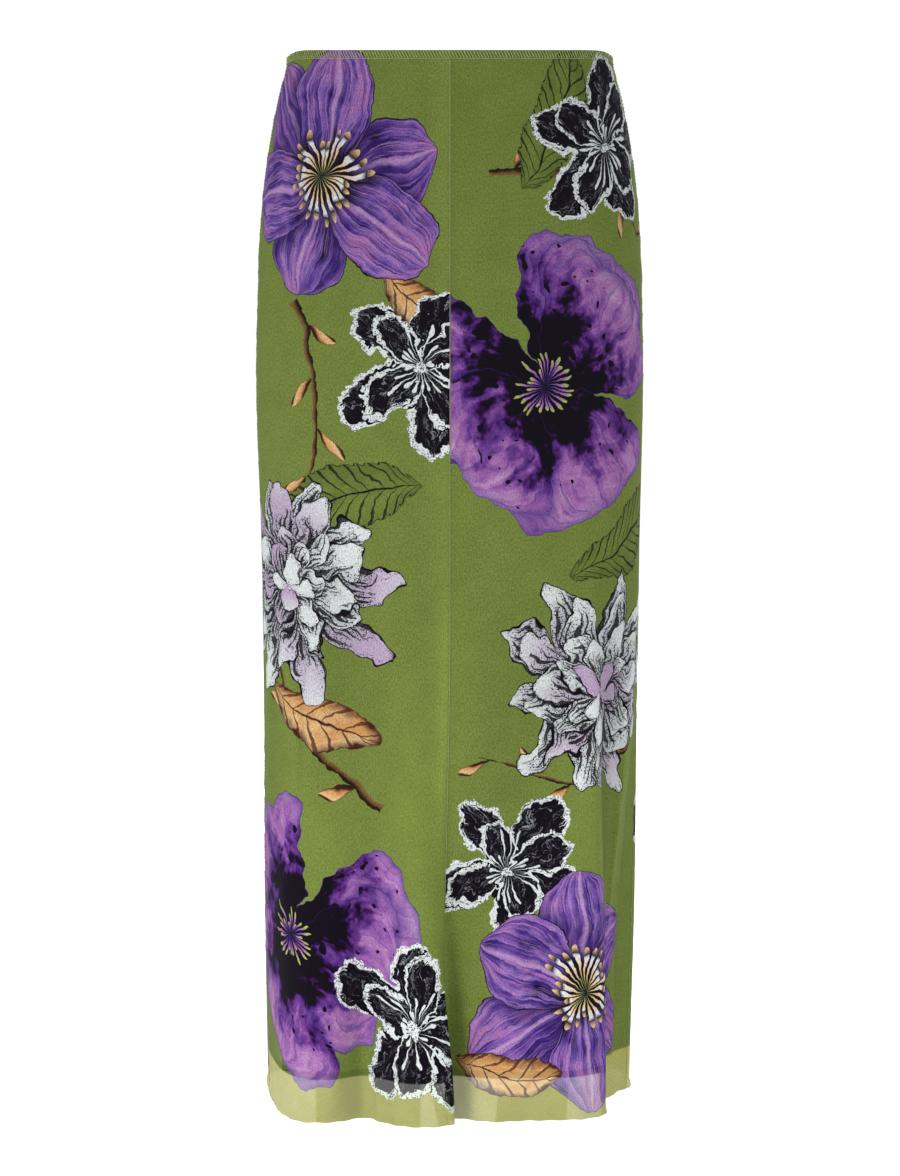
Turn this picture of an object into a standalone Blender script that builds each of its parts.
"""A printed mesh midi skirt, hollow, hanging as it is worn, with its lining and its waist elastic.

Metres, +Z up. The origin is the middle of the waist opening, level with the top edge. The front
faces -Y, and the skirt hangs down to Z = -LENGTH. Left and right are those of someone facing it.

Each panel is one open grid, laid on the garment's surface and given its thickness by Solidify.
The surface is a stack of girths. A place on a girth is a number of quarters, counted from the
centre front: 0 centre front, 1 the right side seam, 2 centre back, -1 the left side seam.
"""

import math
from collections import namedtuple

import bmesh
import bpy
import numpy as np

LENGTH = 0.938  # waist edge to the raw hem
LINING_LENGTH = 0.900  # waist edge to the lining's hem
WALL = 0.001  # every cloth layer
SEAM_GAP = 0.0003  # between two pieces that are sewn together
ELASTIC_HEIGHT = 0.007
ELASTIC_TOP = 0.0005  # below the folded top edge
ELASTIC_INSET = WALL + 0.0006  # the elastic's face inside the outer face
LINING_EASE_TOP = 0.0018  # how far the lining's face lies inside the outer face, at the waist
LINING_EASE = 0.007  # and from EASE_REACHED down
EASE_REACHED = 0.16

CENTRE_FRONT, RIGHT_SIDE, CENTRE_BACK, LEFT_SIDE = 0.0, 1.0, 2.0, -1.0

GIRTH_SAMPLES = 3201  # points that a girth is worked out from
TOP_CROWDING = 1.25  # over 1, the rows crowd towards the waist, where the shape changes fastest
BEND_WEIGHT = 0.012  # metres of cloth that a turn of one radian counts for when columns are shared
EDGE_CROWDING = 0.65  # how much narrower than the mean a piece's columns are beside its seams

# A girth's half width, its reach to the front and to the back of its own middle, how far that
# middle lies behind the origin, and how square its front and back halves are (2 is an ellipse).
Girth = namedtuple("Girth", "name drop half_width front back set_back front_square back_square")
GIRTHS = [
    Girth("waist", 0.000, 0.1412, 0.097, 0.097, 0.000, 2.10, 2.05),
    Girth("below_waist", 0.035, 0.1496, 0.100, 0.104, 0.004, 2.15, 2.10),
    Girth("high_hip", 0.100, 0.1618, 0.105, 0.114, 0.009, 2.25, 2.15),
    Girth("hip", 0.250, 0.1712, 0.112, 0.121, 0.016, 2.45, 2.25),
    Girth("thigh", 0.450, 0.1692, 0.117, 0.117, 0.023, 2.70, 2.30),
    Girth("knee", 0.700, 0.1664, 0.120, 0.112, 0.030, 3.00, 2.40),
    Girth("hem", LENGTH, 0.1640, 0.122, 0.108, 0.034, 3.20, 2.40),
]

# Soft folds that hang from the hips. place: quarters from the centre front. width: of half the
# fold, along the girth. out: how far it stands out (in, where negative). lean: how far it is
# pushed along the girth, which makes it lap over. Both are reached at full, and begin at start.
# lining: how much of it the lining takes up.
Fold = namedtuple("Fold", "name place width out lean start full lining")
FOLDS = [
    Fold("left_side_hollow", -0.83, 0.030, -0.003, 0.000, 0.50, 0.94, 1.0),
    Fold("left_flute", -0.47, 0.038, 0.026, 0.000, 0.46, 0.94, 0.5),
    Fold("left_hollow", -0.32, 0.016, -0.014, 0.000, 0.62, 0.94, 1.0),
    Fold("centre_flute", -0.115, 0.027, 0.029, 0.000, 0.42, 0.94, 0.6),
    Fold("centre_lap", -0.052, 0.0100, 0.000, 0.018, 0.72, 0.94, 0.0),
    Fold("centre_tuck", 0.018, 0.0125, -0.012, -0.009, 0.48, 0.94, 1.0),
    Fold("right_flute", 0.20, 0.028, 0.010, 0.000, 0.55, 0.94, 0.5),
    Fold("right_swell", 0.44, 0.027, 0.013, 0.000, 0.48, 0.88, 0.4),
    Fold("right_edge", 0.56, 0.0100, 0.004, 0.002, 0.50, 0.80, 0.0),
    Fold("right_hollow", 0.77, 0.035, -0.026, 0.000, 0.48, 0.84, 1.0),
    Fold("right_side_step", 0.93, 0.013, -0.006, 0.000, 0.52, 0.86, 1.0),
    Fold("back_right_flute", 1.36, 0.040, 0.014, 0.000, 0.40, 0.94, 0.5),
    Fold("back_right_hollow", 1.68, 0.030, -0.010, 0.000, 0.46, 0.94, 1.0),
    Fold("back_flute", -1.93, 0.036, 0.012, 0.000, 0.36, 0.94, 0.5),
    Fold("back_left_hollow", -1.62, 0.030, -0.009, 0.000, 0.50, 0.94, 1.0),
    Fold("back_left_flute", -1.30, 0.040, 0.014, 0.000, 0.44, 0.94, 0.5),
]

# What is cut and sewn. start and end are places on the girth, top and bottom are drops below the
# waist edge, and layer says which surface the piece lies on.
Piece = namedtuple("Piece", "name layer start end top bottom columns rows material")
LINING_TOP = ELASTIC_TOP + ELASTIC_HEIGHT + SEAM_GAP
PIECES = [
    Piece("front_left", "outer", LEFT_SIDE, CENTRE_FRONT, 0.0, LENGTH, 28, 24, "printed_mesh"),
    Piece("front_right", "outer", CENTRE_FRONT, RIGHT_SIDE, 0.0, LENGTH, 28, 24, "printed_mesh"),
    Piece("back", "outer", RIGHT_SIDE, 3.0, 0.0, LENGTH, 30, 20, "printed_mesh"),
    Piece("lining_front", "lining", LEFT_SIDE, RIGHT_SIDE, LINING_TOP, LINING_LENGTH, 26, 16, "lining_jersey"),
    Piece("lining_back", "lining", RIGHT_SIDE, 3.0, LINING_TOP, LINING_LENGTH, 20, 16, "lining_jersey"),
    Piece("waist_elastic", "elastic", -CENTRE_BACK, CENTRE_BACK, ELASTIC_TOP,
          ELASTIC_TOP + ELASTIC_HEIGHT, 60, 1, "elastic"),
]

# Colour as sRGB hex, and roughness.
MATERIALS = {
    "printed_mesh": ("#75833F", 0.85),
    "lining_jersey": ("#66773A", 0.80),
    "elastic": ("#8A9850", 0.75),
}


def linear_colour(hex_colour):
    """An sRGB hex colour as the linear RGBA that a shader takes."""
    channels = [int(hex_colour[i : i + 2], 16) / 255 for i in (1, 3, 5)]
    return [c / 12.92 if c <= 0.04045 else ((c + 0.055) / 1.055) ** 2.4 for c in channels] + [1.0]


def make_material(name):
    hex_colour, roughness = MATERIALS[name]
    material = bpy.data.materials.new(name)
    material.use_nodes = True
    shader = material.node_tree.nodes["Principled BSDF"]
    shader.inputs["Base Color"].default_value = linear_colour(hex_colour)
    shader.inputs["Roughness"].default_value = roughness
    shader.inputs["Metallic"].default_value = 0.0
    return material


def eased(value, start, end):
    """0 up to start, 1 from end, and a soft S between."""
    share = min(max((value - start) / (end - start), 0.0), 1.0)
    return share * share * (3.0 - 2.0 * share)


def girth_at(drop):
    """The girth table's columns at a drop, on a smooth curve through the rows."""
    drops = np.array([girth.drop for girth in GIRTHS])
    table = np.array([girth[2:] for girth in GIRTHS])
    slopes = np.gradient(table, drops, axis=0)
    row = min(int(np.searchsorted(drops, drop, side="right")) - 1, len(drops) - 2)
    step = drops[row + 1] - drops[row]
    s = (drop - drops[row]) / step
    return (
        (1 + 2 * s) * (1 - s) ** 2 * table[row]
        + s * (1 - s) ** 2 * step * slopes[row]
        + s * s * (3 - 2 * s) * table[row + 1]
        + s * s * (s - 1) * step * slopes[row + 1]
    )


def running_length(x, y):
    return np.concatenate([[0.0], np.cumsum(np.hypot(np.diff(x), np.diff(y)))])


def plain_girth(drop):
    """The girth without folds: places from centre back to centre back, x, y, and a quarter's length."""
    half_width, front, back, set_back, front_square, back_square = girth_at(drop)
    angle = np.linspace(-math.pi, math.pi, GIRTH_SAMPLES)
    facing = np.cos(angle)
    power = 2.0 / np.where(facing >= 0, front_square, back_square)
    reach = np.where(facing >= 0, front, back)
    x = half_width * np.sign(np.sin(angle)) * np.abs(np.sin(angle)) ** power
    y = set_back - np.sign(facing) * reach * np.abs(facing) ** power
    length = running_length(x, y)
    corners = np.interp([-math.pi, -math.pi / 2, 0, math.pi / 2, math.pi], angle, length)
    place = np.interp(length, corners, [-2.0, -1.0, 0.0, 1.0, 2.0])
    even = np.linspace(-2.0, 2.0, GIRTH_SAMPLES)
    return even, np.interp(even, place, x), np.interp(even, place, y), length[-1] / 4


def layer_inset(layer, drop):
    """How far inside the garment's outer face a layer's own outer face lies."""
    if layer == "outer":
        return 0.0
    if layer == "elastic":
        return ELASTIC_INSET
    return LINING_EASE_TOP + (LINING_EASE - LINING_EASE_TOP) * eased(drop, 0.0, EASE_REACHED)


def folded_girth(layer, drop):
    """Places, x and y of a layer's girth at a drop, with its folds."""
    place, x, y, quarter = plain_girth(drop)
    along_x, along_y = np.gradient(x), np.gradient(y)
    size = np.hypot(along_x, along_y)
    along_x, along_y = along_x / size, along_y / size
    out = np.full_like(place, -layer_inset(layer, drop))
    lean = np.zeros_like(place)
    for fold in FOLDS:
        share = eased(drop, fold.start, fold.full)
        away = (place - fold.place + 2.0) % 4.0 - 2.0
        swell = np.exp(-((away * quarter / fold.width) ** 2))
        taken = fold.lining if layer == "lining" else 1.0
        out += swell * share * fold.out * taken
        lean += swell * share * fold.lean * (0.0 if layer == "lining" else 1.0)
    return place, x + along_y * out + along_x * lean, y - along_x * out + along_y * lean


def column_places(piece):
    """Where a piece's columns stand: evenly along its lowest girth, and closer where that bends."""
    place, x, y = folded_girth(piece.layer, piece.bottom)
    turn = np.unwrap(np.arctan2(np.gradient(y), np.gradient(x)))
    cost = running_length(x, y) + BEND_WEIGHT * np.concatenate([[0.0], np.cumsum(np.abs(np.diff(turn)))])
    places = np.concatenate([place, place[1:] + 4.0])
    costs = np.concatenate([cost, cost[1:] + cost[-1]])
    first, last = np.interp([piece.start, piece.end], places, costs)
    share = np.linspace(0.0, 1.0, piece.columns + 1)
    share -= EDGE_CROWDING * np.sin(2 * math.pi * share) / (2 * math.pi)
    return np.interp(first + (last - first) * share, costs, places)


def piece_rows(piece):
    """The piece's points as rows from its lower edge up, its ends half a seam gap short of the seams."""
    columns = column_places(piece)
    rows = []
    for i in range(piece.rows + 1):
        depth = (1.0 - i / piece.rows) ** TOP_CROWDING
        drop = piece.top + (piece.bottom - piece.top) * depth
        place, x, y = folded_girth(piece.layer, drop)
        places = np.concatenate([place, place[1:] + 4.0])
        xs, ys = np.concatenate([x, x[1:]]), np.concatenate([y, y[1:]])
        length = running_length(xs, ys)
        ends = np.interp([piece.start, piece.end], places, length)
        at = np.interp(columns, places, length)
        at = np.clip(at, ends[0] + SEAM_GAP / 2, ends[1] - SEAM_GAP / 2)
        rows.append([(px, py, -drop) for px, py in zip(np.interp(at, length, xs), np.interp(at, length, ys))])
    return rows


def make_piece(piece, collection):
    """One panel: a grid laid on the garment's surface, with its wall inwards."""
    rows = piece_rows(piece)
    grid = bmesh.new()
    bmesh.ops.create_grid(grid, x_segments=piece.columns, y_segments=piece.rows, size=0.5)
    for vertex in grid.verts:
        column = round((vertex.co.x + 0.5) * piece.columns)
        row = round((vertex.co.y + 0.5) * piece.rows)
        vertex.co = rows[row][column]
    mesh = bpy.data.meshes.new(piece.name)
    grid.to_mesh(mesh)
    grid.free()
    mesh.shade_smooth()
    mesh.materials.append(bpy.data.materials[piece.material])
    panel = bpy.data.objects.new(piece.name, mesh)
    collection.objects.link(panel)
    wall = panel.modifiers.new("wall", "SOLIDIFY")
    wall.thickness = WALL
    wall.offset = -1.0
    wall.use_even_offset = True
    return panel


def main():
    for leftover in list(bpy.data.objects):
        bpy.data.objects.remove(leftover)
    for name in MATERIALS:
        make_material(name)
    collection = bpy.data.collections.new("midi_skirt")
    bpy.context.scene.collection.children.link(collection)
    for piece in PIECES:
        make_piece(piece, collection)


main()
